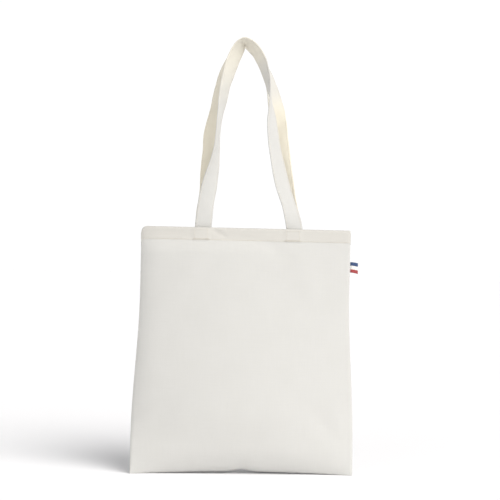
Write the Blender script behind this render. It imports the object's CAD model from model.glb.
"""Canvas tote bag: cloth, straps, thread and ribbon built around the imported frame."""
import logging
import math
from dataclasses import dataclass, field
from enum import Enum
from typing import Iterable, Sequence

import bmesh
import bpy
from mathutils import Matrix, Vector, noise


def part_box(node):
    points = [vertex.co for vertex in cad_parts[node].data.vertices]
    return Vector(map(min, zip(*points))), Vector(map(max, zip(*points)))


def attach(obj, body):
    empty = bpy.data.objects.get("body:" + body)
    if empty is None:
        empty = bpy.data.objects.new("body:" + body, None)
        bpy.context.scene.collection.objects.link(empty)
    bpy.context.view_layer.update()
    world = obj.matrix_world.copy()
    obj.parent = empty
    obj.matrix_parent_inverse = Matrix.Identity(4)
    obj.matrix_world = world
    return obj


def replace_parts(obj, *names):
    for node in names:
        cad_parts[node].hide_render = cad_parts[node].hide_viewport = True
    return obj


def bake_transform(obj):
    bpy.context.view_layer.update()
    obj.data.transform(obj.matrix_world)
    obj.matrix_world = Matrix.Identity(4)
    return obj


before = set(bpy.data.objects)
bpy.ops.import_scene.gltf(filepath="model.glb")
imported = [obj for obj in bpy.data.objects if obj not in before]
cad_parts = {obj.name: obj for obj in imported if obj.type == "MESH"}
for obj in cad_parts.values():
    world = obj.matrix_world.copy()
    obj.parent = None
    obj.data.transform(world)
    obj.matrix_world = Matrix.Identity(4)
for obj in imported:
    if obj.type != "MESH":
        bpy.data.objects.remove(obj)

log = logging.getLogger("tote")

MM = 0.001
STRAP_WIDTH = 28.0 * MM
Point = tuple[float, float, float]


class Side(Enum):
    """The two halves of the bag: the sign is that of y."""

    FRONT = -1.0
    BACK = 1.0


class Hand(Enum):
    """Left and right as seen from the front: the sign is that of x."""

    LEFT = -1.0
    RIGHT = 1.0


def linear(hex_colour: str) -> tuple[float, float, float, float]:
    """Turn an sRGB hex colour into linear RGBA.

    Args:
        hex_colour: Six hex digits, with or without a leading #.

    Returns:
        Linear red, green and blue, and an alpha of 1.
    """
    digits = hex_colour.lstrip("#")
    channels = [int(digits[i:i + 2], 16) / 255.0 for i in (0, 2, 4)]
    values = [c / 12.92 if c <= 0.04045 else ((c + 0.055) / 1.055) ** 2.4 for c in channels]
    return (values[0], values[1], values[2], 1.0)


def smooth(low: float, high: float, value: float) -> float:
    """A smooth step from 0 at low to 1 at high."""
    share = min(1.0, max(0.0, (value - low) / (high - low)))
    return share * share * (3.0 - 2.0 * share)


def spread(low: float, high: float, steps: int) -> list[float]:
    """Evenly spaced values from low to high, both ends included."""
    return [low + (high - low) * i / steps for i in range(steps + 1)]


def node(tree: bpy.types.NodeTree, kind: str, settings: dict[str, object] | None = None,
         inputs: dict[str | int, object] | None = None) -> bpy.types.Node:
    """Add a node, set its properties and inputs, and link the inputs that are sockets.

    Args:
        tree: The node tree that the node goes into.
        kind: The node's bl_idname.
        settings: Properties of the node itself.
        inputs: Input values, or output sockets to link from, by name or number.

    Returns:
        The new node.
    """
    made = tree.nodes.new(kind)
    for name, value in (settings or {}).items():
        setattr(made, name, value)
    for name, value in (inputs or {}).items():
        if isinstance(value, bpy.types.NodeSocket):
            tree.links.new(value, made.inputs[name])
        else:
            made.inputs[name].default_value = value
    return made


def maths(tree: bpy.types.NodeTree, operation: str, *values: object) -> bpy.types.NodeSocket:
    """The result of a maths node on some numbers or sockets."""
    return node(tree, "ShaderNodeMath", {"operation": operation}, dict(enumerate(values))).outputs[0]


def waves(tree: bpy.types.NodeTree, where: bpy.types.NodeSocket, direction: str, pitch: float,
          **inputs: float) -> bpy.types.NodeSocket:
    """Waves a pitch apart along one direction of the given coordinates."""
    scale = math.pi / (10.0 * pitch)
    return node(tree, "ShaderNodeTexWave", {"bands_direction": direction},
                {"Vector": where, "Scale": scale, **inputs}).outputs["Fac"]


def place(name: str, data: bpy.types.ID) -> bpy.types.Object:
    """Put a mesh, light or camera into the scene as a new object."""
    made = bpy.data.objects.new(name, data)
    bpy.context.scene.collection.objects.link(made)
    return made


# Finishes

def blank_material(name: str, inputs: dict[str, float]
                   ) -> tuple[bpy.types.Material, bpy.types.NodeTree, bpy.types.Node]:
    """A new material with some of its shader's inputs set, its node tree and its shader."""
    material = bpy.data.materials.new(name)
    material.use_nodes = True
    shader = material.node_tree.nodes["Principled BSDF"]
    for label, value in inputs.items():
        shader.inputs[label].default_value = value
    return material, material.node_tree, shader


def ramp(tree: bpy.types.NodeTree, factor: bpy.types.NodeSocket, *stops: tuple[float, str]) -> bpy.types.Node:
    """A colour ramp through hex colours, each at its own position from 0 to 1."""
    made = node(tree, "ShaderNodeValToRGB", None, {"Fac": factor})
    marks = made.color_ramp.elements
    for i, (position, colour) in enumerate(stops):
        mark = marks[i] if i < len(marks) else marks.new(position)
        mark.position = position
        mark.color = linear(colour)
    return made


def relief(tree: bpy.types.NodeTree, shader: bpy.types.Node, height: bpy.types.NodeSocket,
           distance: float, strength: float) -> None:
    """Let a pattern raise a shader's surface by up to a distance."""
    bump = node(tree, "ShaderNodeBump", None, {"Strength": strength, "Distance": distance, "Height": height})
    tree.links.new(bump.outputs["Normal"], shader.inputs["Normal"])


@dataclass(frozen=True)
class CanvasFinish:
    """Bleached cotton canvas, plain woven from slubby ring-spun yarn.

    It reads as a dry, warm off-white: fully matte, with a fine over-and-under weave, thick
    and thin yarns running both ways, and a soft fuzz that lifts the grazing edges.
    """

    name: str = "Canvas plain woven cotton"
    colour: str = "#D2D1CE"
    shade: str = "#C9C8C4"
    double_layer: str = "#FCFAF7"
    handled: str = "#E6DFCC"
    yarn_pitch: float = 0.9 * MM
    slub_length: float = 38.0 * MM
    slub_share: float = 0.16
    blotch: float = 55.0 * MM
    blotch_share: float = 0.2
    roughness: float = 0.92
    sheen: float = 0.18
    weave_height: float = 0.12 * MM

    def build(self) -> bpy.types.Material:
        """Build the material. It reads the piece's UV map, which is laid out in metres."""
        material, tree, shader = blank_material(self.name, {
            "Roughness": self.roughness, "Specular IOR Level": 0.25, "Sheen Weight": self.sheen,
            "Sheen Roughness": 0.6})
        uv = node(tree, "ShaderNodeUVMap", {"uv_map": "Cloth"}).outputs["UV"]
        slack = {"Distortion": 0.9, "Detail": 1.0, "Detail Scale": 0.3}
        warp, weft = (waves(tree, uv, way, self.yarn_pitch, **slack) for way in "XY")
        weave = maths(tree, "MULTIPLY", warp, weft)
        slubs = self._slubs(tree, uv)
        blotches = node(tree, "ShaderNodeTexNoise", {"noise_dimensions": "2D"},
                        {"Vector": uv, "Scale": 1.0 / self.blotch, "Detail": 3.0, "Roughness": 0.5})
        tone = maths(tree, "MULTIPLY_ADD", blotches.outputs["Fac"], self.blotch_share, slubs)
        cloth = ramp(tree, tone, (0.2, self.shade), (0.75, self.colour)).outputs["Color"]
        tints = (("layers", "MULTIPLY", self.double_layer), ("handled", "MIX", self.handled))
        for share, blend, tint in tints:
            where = node(tree, "ShaderNodeAttribute", {"attribute_name": share})
            cloth = node(tree, "ShaderNodeMix", {"data_type": "RGBA", "blend_type": blend},
                         {0: where.outputs["Fac"], 6: cloth, 7: linear(tint)}).outputs[2]
        tree.links.new(cloth, shader.inputs["Base Color"])
        height = maths(tree, "MULTIPLY_ADD", slubs, 0.6, weave)
        relief(tree, shader, height, self.weave_height, 0.55)
        return material

    def _slubs(self, tree: bpy.types.NodeTree, uv: bpy.types.NodeSocket) -> bpy.types.NodeSocket:
        """Thick and thin stretches of yarn, long one way and two yarns wide the other."""
        both = []
        thick = 2.0 * self.yarn_pitch
        for long, wide in ((self.slub_length, thick), (thick, self.slub_length)):
            scaled = node(tree, "ShaderNodeMapping", None,
                          {"Vector": uv, "Scale": (1.0 / long, 1.0 / wide, 1.0)})
            grain = node(tree, "ShaderNodeTexNoise", {"noise_dimensions": "2D"},
                         {"Vector": scaled.outputs["Vector"], "Scale": 1.0, "Detail": 2.0})
            both.append(grain.outputs["Fac"])
        weft = maths(tree, "MULTIPLY", both[1], self.slub_share)
        return maths(tree, "MULTIPLY_ADD", both[0], self.slub_share, weft)


@dataclass(frozen=True)
class ThreadFinish:
    """Spun polyester sewing thread: a slightly glossy ecru ply that twists along each stitch."""

    name: str = "Sewing thread spun polyester"
    colour: str = "#E2DDD2"
    shade: str = "#C8C1B2"
    ply_pitch: float = 0.8 * MM
    roughness: float = 0.55

    def build(self) -> bpy.types.Material:
        """Build the material. The twist follows the object's own coordinates."""
        material, tree, shader = blank_material(self.name, {"Roughness": self.roughness, "Sheen Weight": 0.1})
        where = node(tree, "ShaderNodeTexCoord").outputs["Object"]
        ply = waves(tree, where, "DIAGONAL", self.ply_pitch, Distortion=0.4)
        twist = ramp(tree, ply, (0.0, self.shade), (1.0, self.colour))
        tree.links.new(twist.outputs["Color"], shader.inputs["Base Color"])
        relief(tree, shader, ply, 0.05 * MM, 0.4)
        return material


@dataclass(frozen=True)
class RibbonFinish:
    """Woven polyester ribbon: three bands with fine ribs across it and a low satin gloss.

    Each band has its lower edge, as a share of the ribbon's width, and its colour.
    """

    name: str = "Ribbon woven polyester"
    bands: tuple[tuple[float, str], ...] = ((0.0, "#A03A3C"), (0.32, "#E9E7E2"), (0.66, "#2C4670"))
    rib_pitch: float = 0.5 * MM
    roughness: float = 0.5

    def build(self) -> bpy.types.Material:
        """Build the material. The bands follow V of the piece's UV map, from 0 at its lower edge to 1."""
        material, tree, shader = blank_material(self.name, {"Roughness": self.roughness,
                                                            "Sheen Weight": 0.25})
        uv = node(tree, "ShaderNodeUVMap", {"uv_map": "Cloth"}).outputs["UV"]
        axes = node(tree, "ShaderNodeSeparateXYZ", None, {"Vector": uv})
        stripes = ramp(tree, axes.outputs["Y"], *self.bands)
        stripes.color_ramp.interpolation = "CONSTANT"
        tree.links.new(stripes.outputs["Color"], shader.inputs["Base Color"])
        relief(tree, shader, waves(tree, uv, "X", self.rib_pitch), 0.06 * MM, 0.5)
        return material


@dataclass(frozen=True)
class FloorFinish:
    """Matte white studio paper: it shows nothing but the bag's soft shadow, very slightly cool."""

    name: str = "Studio paper"
    colour: str = "#FDFDFF"

    def build(self) -> bpy.types.Material:
        """Build the material."""
        material, _, shader = blank_material(self.name, {"Roughness": 1.0, "Specular IOR Level": 0.0})
        shader.inputs["Base Color"].default_value = linear(self.colour)
        return material


# Mesh helpers

def grid_mesh(name: str, rows: Sequence[Sequence[Vector]], uvs: Sequence[Sequence[tuple[float, float]]],
              **shares: Sequence[Sequence[float]]) -> bpy.types.Object:
    """Make an open sheet from a grid of points.

    Args:
        name: The new object's name.
        rows: Points, row by row.
        uvs: The cloth coordinates of each point, in metres along the cloth.
        shares: Named shares from 0 to 1 at each point, such as how doubled the cloth is.

    Returns:
        The new object, linked to the scene.
    """
    count = len(rows[0])
    points = [p for row in rows for p in row]
    faces = []
    for i in range(len(rows) - 1):
        for j in range(count - 1):
            first = i * count + j
            faces.append((first, first + 1, first + count + 1, first + count))
    mesh = bpy.data.meshes.new(name)
    mesh.from_pydata([tuple(p) for p in points], [], faces)
    flat_uvs = [uv for row in uvs for uv in row]
    layer = mesh.uv_layers.new(name="Cloth")
    for loop in mesh.loops:
        layer.data[loop.index].uv = flat_uvs[loop.vertex_index]
    for share, grid in shares.items():
        made = mesh.attributes.new(share, "FLOAT", "POINT")
        made.data.foreach_set("value", [value for row in grid for value in row])
    mesh.polygons.foreach_set("use_smooth", [True] * len(mesh.polygons))
    return place(name, mesh)


def bake(piece: bpy.types.Object) -> bpy.types.Object:
    """Apply all of a piece's modifiers to its mesh."""
    graph = bpy.context.evaluated_depsgraph_get()
    graph.update()
    mesh = bpy.data.meshes.new_from_object(piece.evaluated_get(graph), preserve_all_data_layers=True,
                                           depsgraph=graph)
    old = piece.data
    piece.modifiers.clear()
    piece.data = mesh
    bpy.data.meshes.remove(old)
    return piece


def thicken(piece: bpy.types.Object, thickness: float, offset: float) -> bpy.types.Object:
    """Give an open sheet its thickness, with square raw edges, and apply it."""
    wall = piece.modifiers.new("Cloth thickness", "SOLIDIFY")
    wall.thickness = thickness
    wall.offset = offset
    wall.use_even_offset = False
    return bake(piece)


def dress(piece: bpy.types.Object, material: bpy.types.Material) -> bpy.types.Object:
    """Give a piece its material and name the record's slot that it stands for."""
    piece.data.materials.clear()
    piece.data.materials.append(material)
    return piece


# The body's cloth

@dataclass
class Crease:
    """A soft fold pressed into a panel, straight from one point to another.

    Positions are x and z in metres; a negative height is a dent.
    """

    start: tuple[float, float]
    end: tuple[float, float]
    width: float
    height: float

    def lift(self, x: float, z: float) -> float:
        """How far the fold lifts the cloth at x, z."""
        ax, az = self.start
        bx, bz = self.end
        dx, dz = bx - ax, bz - az
        share = ((x - ax) * dx + (z - az) * dz) / (dx * dx + dz * dz)
        inside = min(1.0, max(0.0, share))
        off = math.hypot(x - ax - inside * dx, z - az - inside * dz) / self.width
        taper = math.sin(math.pi * (0.12 + 0.76 * inside)) ** 0.8
        return self.height * taper * math.exp(-off * off)


@dataclass
class BodyShape:
    """The lightly filled body: where its cloth lies, in metres.

    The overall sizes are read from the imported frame; the rest are the maker's own.
    """

    height: float = field(default_factory=lambda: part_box("front_panel")[1].z)
    base_half: float = field(default_factory=lambda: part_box("front_panel")[1].x)
    belly: float = field(default_factory=lambda: -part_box("front_panel")[0].y)
    mouth_half: float = field(default_factory=lambda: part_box("side_ribbon_tail")[1].x - 0.2 * MM)
    hem_width: float = field(default_factory=lambda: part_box("front_hem")[1].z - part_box("front_hem")[0].z)
    mouth_depth: float = field(default_factory=lambda: -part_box("front_hem")[0].y - 2.0 * MM)
    foot_spacing: float = field(default_factory=lambda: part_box("front_handle_feet")[1].x - 0.5 * STRAP_WIDTH)
    flare_top: float = 310.0 * MM
    flare_foot: float = 60.0 * MM
    seam_gap: float = 0.35 * MM
    fullness: float = 0.8
    belly_power: float = 1.4
    turn: float = 50.0 * MM
    bow: tuple[float, float] = (-8.0 * MM, 14.0 * MM)
    bow_height: float = 110.0 * MM
    corner_slump: tuple[float, float] = (10.0 * MM, 3.0 * MM)
    arch_rise: float = 1.8 * MM
    notch: tuple[float, float] = (16.0 * MM, 4.0 * MM)
    roll: float = 6.0 * MM
    roll_depth: float = 2.2 * MM
    shoulder: float = 9.5 * MM
    shoulder_reach: float = 13.0 * MM
    cloth: float = 1.0 * MM

    def half_width(self, z: float) -> float:
        """Half the width at a height."""
        narrowing = self.base_half - self.mouth_half
        return self.base_half - narrowing * smooth(self.flare_foot, self.flare_top, z)

    def half_depth(self, z: float) -> float:
        """Half the depth in the middle at a height."""
        level = max(0.0, z) / self.height
        belly = self.belly - 1.2 * MM
        return self.mouth_depth + (belly - self.mouth_depth) * (1.0 - level**self.belly_power)

    def floor_line(self, x: float) -> float:
        """Height of the bottom seam, arched between the two lower corners."""
        share = min(1.0, abs(x) / (0.95 * self.base_half))
        wide, tall = self.notch
        return self.arch_rise * (1.0 - share**1.8) + tall * math.exp(-((x / wide) ** 2))

    def middle(self, x: float, z: float) -> float:
        """The y of the body's middle plane: its foot stands in a shallow bow, corners forward."""
        share = min(1.0, abs(x) / self.base_half)
        corner, centre = self.bow
        return (centre + (corner - centre) * share**2) * (1.0 - smooth(0.0, self.bow_height, z))

    def slump(self, x: float, z: float) -> float:
        """How far the mouth's end corners have slumped; the left one is the rounder."""
        radius = self.corner_slump[0] if x < 0.0 else self.corner_slump[1]
        edge = max(0.0, 1.0 - (self.half_width(z) - abs(x)) / radius)
        return radius * (1.0 - math.sqrt(max(0.0, 1.0 - edge**2))) * smooth(0.36, 0.42, z)

    def depth(self, x: float, z: float, side: Side) -> float:
        """Distance of the panel from the middle plane at x and z."""
        half = self.half_width(z)
        reach = min(1.0, abs(x) / half)
        lens = self.half_depth(z) * (1.0 - reach**2) ** self.fullness
        inset = half - abs(x)
        low = 1.0 - smooth(0.08, 0.3, z)
        roll = self.roll_depth * (1.0 + 0.8 * low)
        if inset < self.roll:
            edge = 1.0 - inset / self.roll
            roll *= math.sqrt(max(0.0, 1.0 - edge * edge))
        roll *= 1.0 - smooth(30.0 * MM, 60.0 * MM, inset)
        fade = smooth(0.0, 0.2, z) * (1.0 - 0.6 * smooth(0.375, 0.41, z))
        along = half + x if side is Side.FRONT else half - x
        rise = 1.0 - math.exp(-max(0.0, along) / self.shoulder_reach)
        shoulder = self.shoulder * rise * (1.0 - smooth(0.6 * half, 1.9 * half, along))
        return math.hypot(lens, roll) + fade * shoulder


@dataclass
class Panel:
    """One panel of the body: hem turned inside, wall, and the turn under to the bottom seam."""

    side: Side
    shape: BodyShape
    creases: tuple[Crease, ...]
    columns: int = 150
    wall_rows: int = 130
    turn_rows: int = 26
    hem_rows: int = 8
    hem_inset: float = 2.2 * MM
    hem_start: float = 1.5 * MM
    fold_height: float = 1.2 * MM
    hem_lift: float = 0.45 * MM
    foot_lift: float = 0.9 * MM
    wave: float = 1.1 * MM
    ripple: float = 0.25 * MM

    def relief(self, x: float, z: float) -> float:
        """Folds and slow waves of the cloth, outward."""
        seed = 3.7 if self.side is Side.FRONT else 11.3
        slow = noise.noise(Vector((x / 0.13, z / 0.17, seed)))
        fine = noise.noise(Vector((x / 0.035, z / 0.05, seed + 5.0)))
        calm = smooth(0.0, 0.05, self.shape.half_width(z) - abs(x)) * smooth(0.0, 0.06, z)
        folds = sum(c.lift(x, z) for c in self.creases)
        return calm * (self.wave * slow + self.ripple * fine) + folds

    def doubled(self, z: float) -> float:
        """How far the cloth is doubled by the hem behind it."""
        return smooth(-1.2 * MM, 0.6 * MM, z - (self.shape.height - self.shape.hem_width))

    def point(self, across: float, down: float) -> tuple[Vector, float]:
        """A point of the outer cloth and how doubled it is there.

        Args:
            across: From -1 at the left seam to 1 at the right seam.
            down: From 0 at the mouth to 1 at the start of the turn, and 2 at the bottom seam.

        Returns:
            The point, and the share of doubled cloth.
        """
        s = self.shape
        turn = math.radians(90.0) * max(0.0, down - 1.0)
        inward = max(0.0, math.cos(turn))
        fall = math.sin(turn)
        level = s.height - min(1.0, down) * (s.height - s.turn)
        z_flat = level - s.turn * fall
        half = s.half_width(z_flat)
        x = half * math.sin(math.radians(90.0) * across)
        z = level - (s.turn - s.floor_line(x)) * fall - s.slump(x, z_flat)
        depth = s.depth(x, z_flat, self.side) + self.relief(x, z_flat)
        doubled = self.doubled(z)
        foot = min(abs(x - s.foot_spacing), abs(x + s.foot_spacing))
        raised = doubled * (self.hem_lift + self.foot_lift * (1.0 - smooth(13.0 * MM, 16.0 * MM, foot)))
        y = self.side.value * (s.seam_gap + max(0.15 * MM, depth + raised) * inward)
        return Vector((x, s.middle(x, z) + y, z)), doubled

    def tucked(self, across: float, down: float, share: float) -> Vector:
        """A point of the cloth turned inside, a share of the way to the hem's full inset."""
        p, _ = self.point(across, down)
        slack = abs(p.y) - self.shape.seam_gap
        p.y -= math.copysign(min(self.hem_inset, slack * 0.9) * share, p.y)
        return p

    def build(self, canvas: bpy.types.Material) -> bpy.types.Object:
        """Build the panel's sheet, from the raw edge inside the hem down to the bottom seam."""
        s = self.shape
        acrosses = spread(-1.0, 1.0, self.columns)
        fall = s.height - s.turn
        tucks = [((s.hem_width * (1.0 - step) + self.hem_start * step) / fall, 1.0)
                 for step in spread(0.0, 1.0, self.hem_rows)]
        rows = [[self.tucked(a, down, share) for a in acrosses] for down, share in tucks + [(0.0, 0.5)]]
        layers = [[1.0] * len(row) for row in rows]
        top_down = self.fold_height / fall
        wall = spread(3.0 * top_down, 1.0, self.wall_rows)
        downs = [top_down] + wall + spread(1.0, 2.0, self.turn_rows)[1:]
        for down in downs:
            made = [self.point(a, down) for a in acrosses]
            rows.append([p for p, _ in made])
            layers.append([d for _, d in made])
        uvs = []
        run = 0.0
        for i, row in enumerate(rows):
            if i:
                middle = len(row) // 2
                run += (row[middle] - rows[i - 1][middle]).length
            uvs.append([(p.x, -run) for p in row])
        word = self.side.name.lower()
        piece = grid_mesh(f"{word}_panel_cloth", rows, uvs, layers=layers)
        if self.side is Side.FRONT:
            piece.data.flip_normals()
        thicken(piece, s.cloth, -1.0)
        dress(piece, canvas)
        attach(piece, "bag")
        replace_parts(piece, f"{word}_panel", f"{word}_hem")
        return piece


# Straps

def catmull(values: Sequence[float], t: float) -> float:
    """A smooth curve through evenly spaced values.

    Args:
        values: The values at t = 0, 1, 2 and so on.
        t: Where to read the curve.

    Returns:
        The curve's value at t.
    """
    last = len(values) - 1
    i = min(last - 1, max(0, int(math.floor(t))))
    u = t - i
    a = values[max(0, i - 1)]
    b = values[i]
    c = values[i + 1]
    d = values[min(last, i + 2)]
    return 0.5 * (2.0 * b + (c - a) * u + (2.0 * a - 5.0 * b + 4.0 * c - d) * u * u
                  + (3.0 * b - a - 3.0 * c + d) * u**3)


@dataclass
class Handle:
    """A strap of folded canvas with both ends sewn inside the hem.

    Its stations run from its left foot to its right foot. Each has its x and z in millimetres, and its
    turn about its own length in degrees: 0 where it faces front, positive where its outer edge comes
    forward.
    """

    side: Side
    shape: BodyShape
    stations: tuple[Point, ...]
    width: float = STRAP_WIDTH
    thickness: float = 2.2 * MM
    foot_y: float = field(init=False)
    xs: list[float] = field(init=False)
    zs: list[float] = field(init=False)
    turns: list[float] = field(init=False)
    steps: int = 260
    least_handled: float = 0.0
    most_handled: float = 0.6
    paler: float = 0.75
    cup: float = 1.6 * MM
    waver: float = 0.9 * MM
    ripple: float = 0.5 * MM
    edge_row: float = 2.5 * MM
    crown_out: float = 6.5 * MM

    @property
    def word(self) -> str:
        """front or back."""
        return self.side.name.lower()

    def __post_init__(self) -> None:
        """Read where the strap's feet are, and keep the stations as three lists."""
        low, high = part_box(f"{self.word}_handle_feet")
        self.foot_y = 0.5 * (abs(low.y) + abs(high.y))
        self.xs = [x * MM for x, _, _ in self.stations]
        self.zs = [z * MM for _, z, _ in self.stations]
        self.turns = [math.radians(turn) for _, _, turn in self.stations]

    def run(self) -> list[float]:
        """Even steps from the first station to the last."""
        return spread(0.0, len(self.stations) - 1.0, self.steps)

    def centre(self, t: float) -> Vector:
        """The strap's centre at station t."""
        z = catmull(self.zs, t)
        lift = smooth(self.shape.height, self.shape.height + 0.3, z)
        return Vector((catmull(self.xs, t), self.side.value * (self.foot_y + self.crown_out * lift), z))

    def section(self, t: float) -> tuple[Vector, Vector, Vector]:
        """The strap's centre, the direction of its width and the direction of its thickness."""
        here = self.centre(t)
        ahead = self.centre(min(len(self.stations) - 1.0, t + 0.02))
        behind = self.centre(max(0.0, t - 0.02))
        along = (ahead - behind).normalized()
        outward = along.cross(Vector((0.0, 1.0, 0.0))).normalized()
        turn = catmull(self.turns, t)
        wide = outward * math.cos(turn) + Vector((0.0, -1.0, 0.0)) * math.sin(turn)
        deep = along.cross(wide).normalized()
        return here, wide, deep

    def surface(self, t: float, across: float, through: float) -> Vector:
        """A point of the strap.

        Args:
            t: The station.
            across: Distance from the strap's middle line along its width.
            through: Distance from its middle layer through its thickness.

        Returns:
            The point, with the strap's soft cupping and its uneven edge.
        """
        here, wide, deep = self.section(t)
        seed = 2.3 if self.side is Side.FRONT else 7.9
        free = smooth(self.shape.height, self.shape.height + 40.0 * MM, here.z)
        cup = self.cup * free * noise.noise(Vector((t * 0.5, seed, 0.0)))
        share = 2.0 * across / self.width
        edge = self.waver * free * noise.noise(Vector((t * 1.1, seed, 3.0 * share)))
        ripple = self.ripple * free * noise.noise(Vector((t * 1.6, seed, 1.3 * share)))
        return here + wide * (across + edge) + deep * (through + cup * (1.0 - 2.0 * share**2) + ripple)

    def profile(self) -> list[tuple[float, float]]:
        """Half outline of the strap: its edges are folds, pinched a little along the stitch rows."""
        half = self.width / 2.0
        t = self.thickness / 2.0
        pinch_at = 1.0 - self.edge_row / half
        outline = []
        for share in spread(-1.0, 1.0, 16):
            pinch = 1.0 - 0.25 * math.exp(-(((abs(share) - pinch_at) / 0.08) ** 2))
            outline.append((share * (half - t), t * pinch))
        return outline

    def handled(self, here: Vector) -> float:
        """How yellowed the strap is by handling: most at its crown, least high on the right leg."""
        held = self.least_handled + (self.most_handled - self.least_handled) * smooth(0.6, 0.73, here.z)
        return held * (1.0 - self.paler * smooth(12.0 * MM, 26.0 * MM, here.x) * smooth(0.61, 0.66, here.z))

    def build(self, canvas: bpy.types.Material) -> bpy.types.Object:
        """Build the strap as one closed tube of its flat section."""
        upper = self.profile()
        lower = [(w, -d) for w, d in reversed(upper)]
        edge = self.width / 2.0
        nose = [(edge - 0.3 * MM, 0.7 * MM), (edge, 0.0), (edge - 0.3 * MM, -0.7 * MM)]
        ring = upper + nose + lower + [(-w, -d) for w, d in nose]
        rows = []
        uvs = []
        grip = []
        run = 0.0
        last = None
        for t in self.run():
            here = self.centre(t)
            run += (here - last).length if last else 0.0
            last = here
            loop = [self.surface(t, w, d) for w, d in ring]
            rows.append(loop + loop[:1])
            grip.append([self.handled(here)] * len(rows[-1]))
            girth = spread(0.0, 2.0 * self.width, len(ring))
            uvs.append([(g, run) for g in girth])
        piece = grid_mesh(f"{self.word}_strap", rows, uvs, handled=grip)
        weld = piece.modifiers.new("Close", "WELD")
        weld.merge_threshold = 0.01 * MM
        bake(piece)
        self._cap(piece)
        dress(piece, canvas)
        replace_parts(piece, f"{self.word}_handle", f"{self.word}_handle_feet")
        self.bend(piece)
        log.info("%s: %.0f mm long", piece.name, run / MM)
        return piece

    def _cap(self, piece: bpy.types.Object) -> None:
        """Close the strap's two cut ends."""
        work = bmesh.new()
        work.from_mesh(piece.data)
        open_edges = [e for e in work.edges if e.is_boundary]
        bmesh.ops.holes_fill(work, edges=open_edges, sides=0)
        bmesh.ops.recalc_face_normals(work, faces=work.faces)
        work.to_mesh(piece.data)
        work.free()

    def bend(self, piece: bpy.types.Object) -> None:
        """Let a piece bend over the mouth's edge as the handle folds."""
        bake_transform(piece)

    def row(self, across: float, face: float) -> list[Vector]:
        """The path of a stitch row at an offset across the strap, on one of its faces."""
        off = face * (self.thickness / 2.0 * 0.78 + 0.1 * MM)
        return [self.surface(t, across, off) for t in self.run()]


# Thread

STITCH = {"Stitch length": 2.7 * MM, "Pitch": 3.2 * MM, "Thread radius": 0.32 * MM}
OVERLOCK = {"Pitch": 2.2 * MM, "Loop width": 5.2 * MM, "Loop depth": 3.0 * MM, "Thread radius": 0.22 * MM}


def start_run(name: str, sizes: dict[str, float]
              ) -> tuple[bpy.types.NodeTree, bpy.types.Node, bpy.types.Node]:
    """Start a Geometry Nodes tree that lays thread along the edges of a path mesh.

    Args:
        name: The tree's name.
        sizes: Its size inputs; Pitch is the spacing of the points along the path.

    Returns:
        The tree, its input node and the node that gives the points.
    """
    tree = bpy.data.node_groups.new(name, "GeometryNodeTree")
    face = tree.interface
    face.new_socket("Geometry", in_out="INPUT", socket_type="NodeSocketGeometry")
    for label, value in sizes.items():
        face.new_socket(label, in_out="INPUT", socket_type="NodeSocketFloat").default_value = value
    face.new_socket("Up", in_out="INPUT", socket_type="NodeSocketVector")
    face.new_socket("Material", in_out="INPUT", socket_type="NodeSocketMaterial")
    face.new_socket("Geometry", in_out="OUTPUT", socket_type="NodeSocketGeometry")
    given = node(tree, "NodeGroupInput")
    curve = node(tree, "GeometryNodeMeshToCurve", None, {"Mesh": given.outputs["Geometry"]})
    points = node(tree, "GeometryNodeCurveToPoints", {"mode": "LENGTH"},
                  {"Curve": curve.outputs["Curve"], "Length": given.outputs["Pitch"]})
    return tree, given, points


def end_run(tree: bpy.types.NodeTree, given: bpy.types.Node, points: bpy.types.Node,
            laid: dict[str, bpy.types.NodeSocket]) -> bpy.types.NodeTree:
    """Lay an instance at each point and make them real, smooth and of the given material."""
    copies = node(tree, "GeometryNodeInstanceOnPoints", None, {"Points": points.outputs["Points"], **laid})
    real = node(tree, "GeometryNodeRealizeInstances", None, {"Geometry": copies.outputs["Instances"]})
    shade = node(tree, "GeometryNodeSetShadeSmooth", None, {"Geometry": real.outputs["Geometry"]})
    finish = node(tree, "GeometryNodeSetMaterial", None,
                  {"Geometry": shade.outputs["Geometry"], "Material": given.outputs["Material"]})
    node(tree, "NodeGroupOutput", None, {"Geometry": finish.outputs["Geometry"]})
    return tree


def stitch_tree() -> bpy.types.NodeTree:
    """A tree that lays lockstitches end to end."""
    tree, given, points = start_run("Lockstitch run", STITCH)
    turn = node(tree, "FunctionNodeAlignRotationToVector", {"axis": "X"},
                {"Vector": points.outputs["Tangent"]})
    bead = node(tree, "GeometryNodeMeshUVSphere", None, {"Segments": 6, "Rings": 5, "Radius": 1.0})
    half = maths(tree, "MULTIPLY", given.outputs["Stitch length"], 0.5)
    thick = given.outputs["Thread radius"]
    size = node(tree, "ShaderNodeCombineXYZ", None, {"X": half, "Y": thick, "Z": thick})
    return end_run(tree, given, points, {"Instance": bead.outputs["Mesh"], "Scale": size.outputs["Vector"],
                                         "Rotation": turn.outputs["Rotation"]})


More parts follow.
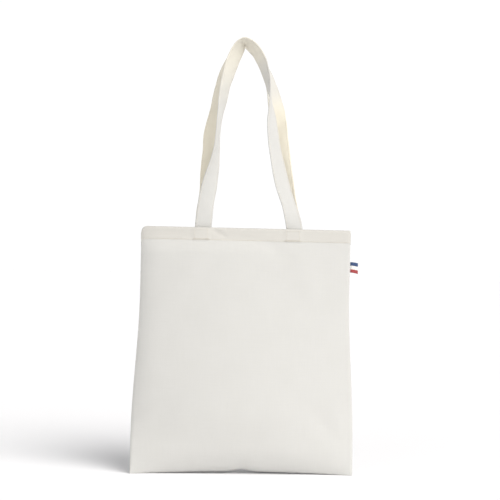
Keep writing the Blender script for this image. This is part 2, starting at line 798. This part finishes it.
def loop_tree() -> bpy.types.NodeTree:
    """A tree that wraps overlock loops of thread round a raw edge."""
    tree, given, points = start_run("Overlock run", OVERLOCK)
    first = node(tree, "FunctionNodeAlignRotationToVector", {"axis": "Z"},
                 {"Vector": points.outputs["Tangent"]})
    turn = node(tree, "FunctionNodeAlignRotationToVector", {"axis": "Y", "pivot_axis": "Z"},
                {"Rotation": first.outputs["Rotation"], "Vector": given.outputs["Up"]})
    ring = node(tree, "GeometryNodeCurvePrimitiveCircle", None, {"Resolution": 12, "Radius": 0.5})
    shape = node(tree, "ShaderNodeCombineXYZ", None,
                 {"X": given.outputs["Loop width"], "Y": given.outputs["Loop depth"], "Z": 1.0})
    oval = node(tree, "GeometryNodeTransform", None,
                {"Geometry": ring.outputs["Curve"], "Scale": shape.outputs["Vector"]})
    ply = node(tree, "GeometryNodeCurvePrimitiveCircle", None,
               {"Resolution": 5, "Radius": given.outputs["Thread radius"]})
    loop = node(tree, "GeometryNodeCurveToMesh", None,
                {"Curve": oval.outputs["Geometry"], "Profile Curve": ply.outputs["Curve"]})
    return end_run(tree, given, points, {"Instance": loop.outputs["Mesh"],
                                         "Rotation": turn.outputs["Rotation"]})


def run_tree(name: str, paths: Sequence[Sequence[Vector]], tree: bpy.types.NodeTree,
             values: dict[str, object]) -> bpy.types.Object:
    """Run a Geometry Nodes tree over some paths and keep the result as a plain mesh.

    Args:
        name: The new object's name.
        paths: Each path's points, in order.
        tree: The tree to run.
        values: The tree's inputs by name.

    Returns:
        The new object.
    """
    points: list[Point] = []
    edges: list[tuple[int, int]] = []
    for path in paths:
        first = len(points)
        points.extend(tuple(p) for p in path)
        edges.extend((first + i, first + i + 1) for i in range(len(path) - 1))
    mesh = bpy.data.meshes.new(name)
    mesh.from_pydata(points, edges, [])
    piece = place(name, mesh)
    modifier = piece.modifiers.new("Run", "NODES")
    modifier.node_group = tree
    for item in tree.interface.items_tree:
        if item.in_out == "INPUT" and item.name in values:
            modifier[item.identifier] = values[item.name]
    return bake(piece)


@dataclass
class Threads:
    """All the sewing thread of the bag."""

    shape: BodyShape
    front: Panel
    back: Panel
    handles: tuple[Handle, ...]
    finish: bpy.types.Material
    stand_off: float = 0.15 * MM
    hem_row: float = 1.4 * MM
    box_half: float = 11.0 * MM
    box_foot: float = 3.2 * MM
    box_top: float = 3.5 * MM

    def __post_init__(self) -> None:
        """Build the two trees that the runs share."""
        self.stitches = stitch_tree()
        self.loops = loop_tree()

    def on_panel(self, panel: Panel, x: float, z: float) -> Vector:
        """A point just proud of a panel's outer face."""
        s = self.shape
        across = math.asin(max(-1.0, min(1.0, x / s.half_width(z)))) / math.radians(90.0)
        p, _ = panel.point(across, (s.height - z) / (s.height - s.turn))
        p.y += panel.side.value * self.stand_off
        return p

    def hem_run(self) -> bpy.types.Object:
        """The stitch row along the lower edge of the hem, front and back."""
        s = self.shape
        z = s.height - s.hem_width + self.hem_row
        reach = s.mouth_half - 3.0 * MM
        paths = [[self.on_panel(panel, x, z) for x in spread(-reach, reach, 200)]
                 for panel in (self.front, self.back)]
        piece = self._stitch("hem_stitches", paths)
        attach(piece, "bag")
        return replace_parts(piece, "hem_stitching")

    def foot_boxes(self, panel: Panel) -> bpy.types.Object:
        """The stitched boxes, with a dense row along their foot, that hold a handle's ends."""
        s = self.shape
        paths = []
        half = self.box_half
        low = s.height - s.hem_width + self.box_foot
        high = s.height - self.box_top
        corners = [(-half, low), (half, low), (half, high), (-half, high), (-half, low)]
        for hand in Hand:
            middle = hand.value * s.foot_spacing
            for (x0, z0), (x1, z1) in zip(corners, corners[1:]):
                line = [self.on_panel(panel, middle + x0 + (x1 - x0) * t, z0 + (z1 - z0) * t)
                        for t in spread(0.0, 1.0, 10)]
                paths.append(line)
            for lift in (0.9 * MM, 1.8 * MM):
                paths.append([self.on_panel(panel, middle + x, low - lift)
                              for x in spread(-half - 1.5 * MM, half + 1.5 * MM, 12)])
        word = panel.side.name.lower()
        piece = self._stitch(f"{word}_foot_stitches", paths)
        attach(piece, "bag")
        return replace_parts(piece, f"{word}_handle_tacks")

    def strap_rows(self, handle: Handle) -> bpy.types.Object:
        """Stitch rows along both edges of a strap, on both faces."""
        across = handle.width / 2.0 - handle.edge_row
        paths = [handle.row(a, f) for a in (-across, across) for f in (-1.0, 1.0)]
        piece = self._stitch(f"{handle.word}_strap_stitches", paths)
        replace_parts(piece, f"{handle.word}_handle_stitching")
        handle.bend(piece)
        return piece

    def _stitch(self, name: str, paths: Sequence[Sequence[Vector]]) -> bpy.types.Object:
        """Lay lockstitches along some paths."""
        piece = run_tree(name, paths, self.stitches, {**STITCH, "Material": self.finish})
        return piece

    def overlock(self, name: str, path: Sequence[Vector]) -> bpy.types.Object:
        """Wrap overlock loops round a raw edge."""
        values = {**OVERLOCK, "Up": (0.0, 1.0, 0.0), "Material": self.finish}
        piece = run_tree(f"{name}_overlock", [path], self.loops, values)
        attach(piece, "bag")
        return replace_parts(piece, f"{name}_overlock_thread")


@dataclass
class SeamAllowances:
    """Both panels' raw edges, lying on each other inside the bag along its three seams."""

    shape: BodyShape
    canvas: bpy.types.Material
    threads: Threads
    width: float = 8.0 * MM
    cut_width: float = 10.0 * MM
    thickness: float = 2.0 * MM
    side_inset: float = 4.5 * MM
    bottom_lift: float = 1.0 * MM
    loop_inset: float = 2.4 * MM

    def side_seam(self, hand: Hand) -> bpy.types.Object:
        """The allowance along a side seam."""
        name = f"{hand.name.lower()}_seam_allowance"
        low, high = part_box(name)
        rows = []
        raw = []
        for z in spread(low.z, high.z, 60):
            seam = hand.value * (self.shape.half_width(z) - self.side_inset)
            inner = seam - hand.value * self.width
            y = self.shape.middle(seam, z)
            rows.append([Vector((seam, y, z)), Vector(((seam + inner) / 2.0, y, z)), Vector((inner, y, z))])
            raw.append(Vector((inner + hand.value * self.loop_inset, y, z)))
        return self._strip(name, rows, raw, hand.name.lower())

    def bottom_seam(self) -> bpy.types.Object:
        """The allowance along the bottom seam."""
        name = "bottom_seam_allowance"
        low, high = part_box(name)
        rows = []
        raw = []
        for x in spread(low.x, high.x, 60):
            z = self.shape.floor_line(x) + self.shape.cloth + self.bottom_lift
            top = z + self.width
            y = self.shape.middle(x, z)
            rows.append([Vector((x, y, z)), Vector((x, y, (z + top) / 2.0)), Vector((x, y, top))])
            raw.append(Vector((x, y, top - self.loop_inset)))
        return self._strip(name, rows, raw, "bottom")

    def _strip(self, name: str, rows: list[list[Vector]], raw: list[Vector], word: str) -> bpy.types.Object:
        """Make an allowance from its middle line and bind its raw edge."""
        uvs = [[(p.x, p.z) for p in row] for row in rows]
        piece = grid_mesh(f"{word}_allowance_cloth", rows, uvs, layers=[[1.0] * len(r) for r in rows])
        thicken(piece, self.thickness, 0.0)
        dress(piece, self.canvas)
        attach(piece, "bag")
        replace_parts(piece, name)
        self.threads.overlock(word, raw)
        return piece


@dataclass
class RibbonTag:
    """The folded ribbon that stands out of the right side seam."""

    finish: bpy.types.Material
    thickness: float = 0.3 * MM
    ends_thickness: float = 0.5 * MM
    half_fold: float = 0.75 * MM
    tilt: float = 0.6 * MM
    droop: float = 2.0 * MM
    proud: float = 3.0 * MM

    def build(self) -> tuple[bpy.types.Object, bpy.types.Object]:
        """Build the free loop and the ends sewn into the seam."""
        low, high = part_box("side_ribbon")
        inner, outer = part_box("side_ribbon_tail")
        loop = self._loop(low, high)
        ends = self._tail(inner, outer)
        return loop, ends

    def _loop(self, low: Vector, high: Vector) -> bpy.types.Object:
        """The free loop: out along the front face, round the fold and back."""
        height = high.z - low.z
        reach = high.x - low.x + self.proud
        half = self.half_fold
        out = [(0.0, 0.2 * MM), (0.3, half * 0.8), (0.6, half), (0.85, half), (0.97, half * 0.7)]
        outline = [(share, -y) for share, y in out] + [(1.0, 0.0)] + out[::-1]
        rows = []
        uvs = []
        for up in spread(0.0, 1.0, 12):
            row = []
            line = []
            run = 0.0
            for share, y in outline:
                sag = self.droop * share * share
                tilt = self.tilt * share * (up - 0.5)
                row.append(Vector((low.x + reach * share, y, low.z + height * up - sag + tilt)))
                run += reach / 5.0
                line.append((run, up))
            rows.append(row)
            uvs.append(line)
        piece = grid_mesh("ribbon_loop", rows, uvs)
        thicken(piece, self.thickness, 0.0)
        dress(piece, self.finish)
        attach(piece, "side_ribbon")
        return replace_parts(piece, "side_ribbon")

    def _tail(self, low: Vector, high: Vector) -> bpy.types.Object:
        """The two ends that lie in the seam."""
        rows = [[Vector((x, 0.0, z)) for x in spread(low.x, high.x, 3)] for z in spread(low.z, high.z, 8)]
        uvs = [[(p.x, (p.z - low.z) / (high.z - low.z)) for p in row] for row in rows]
        piece = grid_mesh("ribbon_ends", rows, uvs)
        thicken(piece, self.ends_thickness, 0.0)
        dress(piece, self.finish)
        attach(piece, "bag")
        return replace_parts(piece, "side_ribbon_tail")


# Stage, light and camera

def bearing(azimuth: float, elevation: float) -> Vector:
    """A direction out from the bag, in degrees: azimuth 0 to its front and 90 to its right."""
    a, e = math.radians(azimuth), math.radians(elevation)
    return Vector((math.sin(a) * math.cos(e), -math.cos(a) * math.cos(e), math.sin(e)))


@dataclass
class Studio:
    """A white sweep, soft daylight from the right and the camera."""

    finish: bpy.types.Material
    lens: float = 90.0
    sensor: float = 36.0
    azimuth: float = -4.0
    elevation: float = 0.5
    roll: float = 1.3
    frame_height: float = 854.0 * MM
    look_at: Point = (6.5 * MM, 0.0, 383.0 * MM)
    horizon: float = 1.03
    ceiling: float = 0.22
    bright_band: tuple[float, float] = (0.25, 0.75)
    key: tuple[float, float, float, float] = (2.55, 42.0, 41.0, 46.0)
    fill: tuple[float, float, float, float] = (0.2, 40.0, -42.0, 30.0)

    def build(self) -> None:
        """Build the floor, the lights, the world and the camera."""
        self._floor()
        self._lights()
        self._camera()

    def _floor(self) -> None:
        """A wide floor plane."""
        mesh = bpy.data.meshes.new("floor")
        size = 12.0
        mesh.from_pydata([(-size, -size, 0.0), (size, -size, 0.0), (size, size, 0.0), (-size, size, 0.0)],
                         [], [(0, 1, 2, 3)])
        mesh.materials.append(self.finish)
        floor = place("floor", mesh)

    def _sun(self, name: str, power: float, spread_angle: float, azimuth: float, height: float) -> None:
        """Add a distant soft light.

        Args:
            name: The light's name.
            power: Its strength.
            spread_angle: How wide it is in the sky, in degrees; wider is softer.
            azimuth: Its direction in degrees, 0 in front of the bag and 90 to its right.
            height: Its height above the floor, in degrees.
        """
        data = bpy.data.lights.new(name, "SUN")
        data.energy = power
        data.angle = math.radians(spread_angle)
        data.color = linear("#FFFDFA")[:3]
        light = place(name, data)
        light.rotation_mode = "QUATERNION"
        light.rotation_quaternion = (-bearing(azimuth, height)).to_track_quat("-Z", "Y")

    def _lights(self) -> None:
        """A large soft key from the front right, a weak fill, and a room brightest at the horizon."""
        self._sun("key", *self.key)
        self._sun("fill", *self.fill)
        world = bpy.data.worlds.new("Studio")
        world.use_nodes = True
        tree = world.node_tree
        direction = node(tree, "ShaderNodeTexCoord").outputs["Generated"]
        height = node(tree, "ShaderNodeSeparateXYZ", None, {"Vector": direction}).outputs["Z"]
        level = node(tree, "ShaderNodeMapRange", {"interpolation_type": "SMOOTHSTEP"},
                     {"Value": height, "From Min": self.bright_band[0], "From Max": self.bright_band[1],
                      "To Min": self.horizon, "To Max": self.ceiling})
        background = tree.nodes["Background"]
        background.inputs["Color"].default_value = linear("#FFFFFF")
        tree.links.new(level.outputs["Result"], background.inputs["Strength"])
        bpy.context.scene.world = world
        bpy.context.scene.view_settings.view_transform = "Standard"
        bpy.context.scene.view_settings.look = "None"

    def _camera(self) -> None:
        """A long lens at the bag's own height, a little to its left."""
        data = bpy.data.cameras.new("camera")
        data.lens = self.lens
        data.sensor_width = self.sensor
        camera = place("camera", data)
        distance = self.frame_height / 2.0 / math.tan(math.atan(self.sensor / 2.0 / self.lens))
        back = bearing(self.azimuth, self.elevation)
        camera.location = Vector(self.look_at) + back * distance
        camera.rotation_mode = "QUATERNION"
        aim = (-back).to_track_quat("-Z", "Y")
        camera.rotation_quaternion = aim @ Matrix.Rotation(math.radians(self.roll), 3, "Z").to_quaternion()
        bpy.context.scene.camera = camera


# The bag

def creases(*rows: tuple[float, ...]) -> tuple[Crease, ...]:
    """Creases from the x and z of both ends, the width and the height, all in millimetres."""
    return tuple(Crease((x0 * MM, z0 * MM), (x1 * MM, z1 * MM), width * MM, height * MM)
                 for x0, z0, x1, z1, width, height in rows)


FRONT_CREASES = creases(
    (-62.0, 417.0, -36.0, 404.0, 4.0, -1.6),
    (-36.0, 402.0, 24.0, 400.0, 6.0, -1.2),
    (28.0, 396.0, 64.0, 376.0, 12.0, -1.4),
    (-80.0, 398.0, -120.0, 300.0, 22.0, 1.3),
    (86.0, 398.0, 120.0, 280.0, 24.0, 1.3),
    (-170.0, 60.0, -110.0, 120.0, 16.0, -1.8),
    (172.0, 50.0, 120.0, 110.0, 16.0, -1.6),
)
BACK_CREASES = creases(
    (-80.0, 398.0, -110.0, 290.0, 22.0, 1.3),
    (84.0, 398.0, 116.0, 300.0, 22.0, 1.3),
    (-168.0, 55.0, -104.0, 118.0, 16.0, -1.8),
    (170.0, 52.0, 112.0, 116.0, 16.0, -1.6),
)

FRONT_STATIONS = (
    (-74.0, 397.0, 0.0), (-74.0, 424.0, 0.0), (-71.0, 457.0, 6.0), (-65.5, 490.0, 20.0),
    (-59.0, 522.0, 46.0), (-55.0, 550.0, 66.0), (-53.0, 580.0, 74.0), (-50.0, 612.0, 68.0),
    (-46.0, 640.0, 56.0), (-41.5, 663.0, 50.0), (-36.0, 684.0, 42.0), (-29.5, 706.0, 36.0),
    (-21.5, 723.0, 42.0), (-12.0, 735.5, 68.0), (3.5, 725.0, 60.0), (16.5, 706.0, 58.0),
    (25.0, 685.0, 66.0), (31.0, 662.0, 80.0), (34.5, 640.0, 98.0), (36.5, 618.0, 118.0),
    (38.5, 596.0, 132.0), (41.5, 570.0, 138.0), (47.5, 537.0, 142.0), (57.0, 500.0, 154.0),
    (70.2, 460.0, 152.0), (80.0, 426.0, 178.0), (81.5, 397.0, 180.0),
)
BACK_STATIONS = (
    (-74.5, 397.0, 0.0), (-74.0, 424.0, -8.0), (-71.5, 457.0, -14.0), (-67.5, 490.0, -18.0),
    (-67.6, 520.0, -18.0), (-64.7, 548.0, -20.0), (-63.9, 576.0, -22.0), (-59.2, 600.0, -30.0),
    (-55.0, 622.0, -38.0), (-53.0, 642.0, -44.0), (-48.5, 663.0, -50.0), (-43.0, 684.0, -52.0),
    (-34.5, 704.0, -55.0), (-24.5, 721.0, -60.0), (-12.5, 733.5, -72.0), (4.5, 723.0, -64.0),
    (20.5, 705.0, -56.0), (31.0, 685.0, -48.0), (39.0, 663.0, -42.0), (44.0, 641.0, -26.0),
    (49.0, 620.0, -4.0), (53.0, 597.0, 12.0), (56.0, 571.0, 20.0), (61.0, 538.0, 24.0),
    (67.0, 500.0, 28.0), (74.4, 460.0, 38.0), (82.4, 426.0, 20.0), (82.5, 397.0, 0.0),
)


def main() -> None:
    """Build the bag, the stage and the camera."""
    logging.basicConfig(level=logging.INFO, format="%(name)s: %(message)s")
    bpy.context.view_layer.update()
    canvas = CanvasFinish().build()
    thread = ThreadFinish().build()
    ribbon = RibbonFinish().build()
    Studio(FloorFinish().build()).build()
    shape = BodyShape()
    front = Panel(Side.FRONT, shape, FRONT_CREASES)
    back = Panel(Side.BACK, shape, BACK_CREASES)
    handles = (Handle(Side.FRONT, shape, FRONT_STATIONS),
               Handle(Side.BACK, shape, BACK_STATIONS, least_handled=0.9))
    threads = Threads(shape, front, back, handles, thread)
    pieces = []
    for panel in (front, back):
        pieces += [panel.build(canvas), threads.foot_boxes(panel)]
    for handle in handles:
        pieces += [handle.build(canvas), threads.strap_rows(handle)]
    pieces.append(threads.hem_run())
    seams = SeamAllowances(shape, canvas, threads)
    pieces += [seams.side_seam(hand) for hand in Hand]
    pieces.append(seams.bottom_seam())
    pieces += RibbonTag(ribbon).build()
    for piece in pieces:
        log.info("built %s", piece.name)


if __name__ == "__main__":
    main()
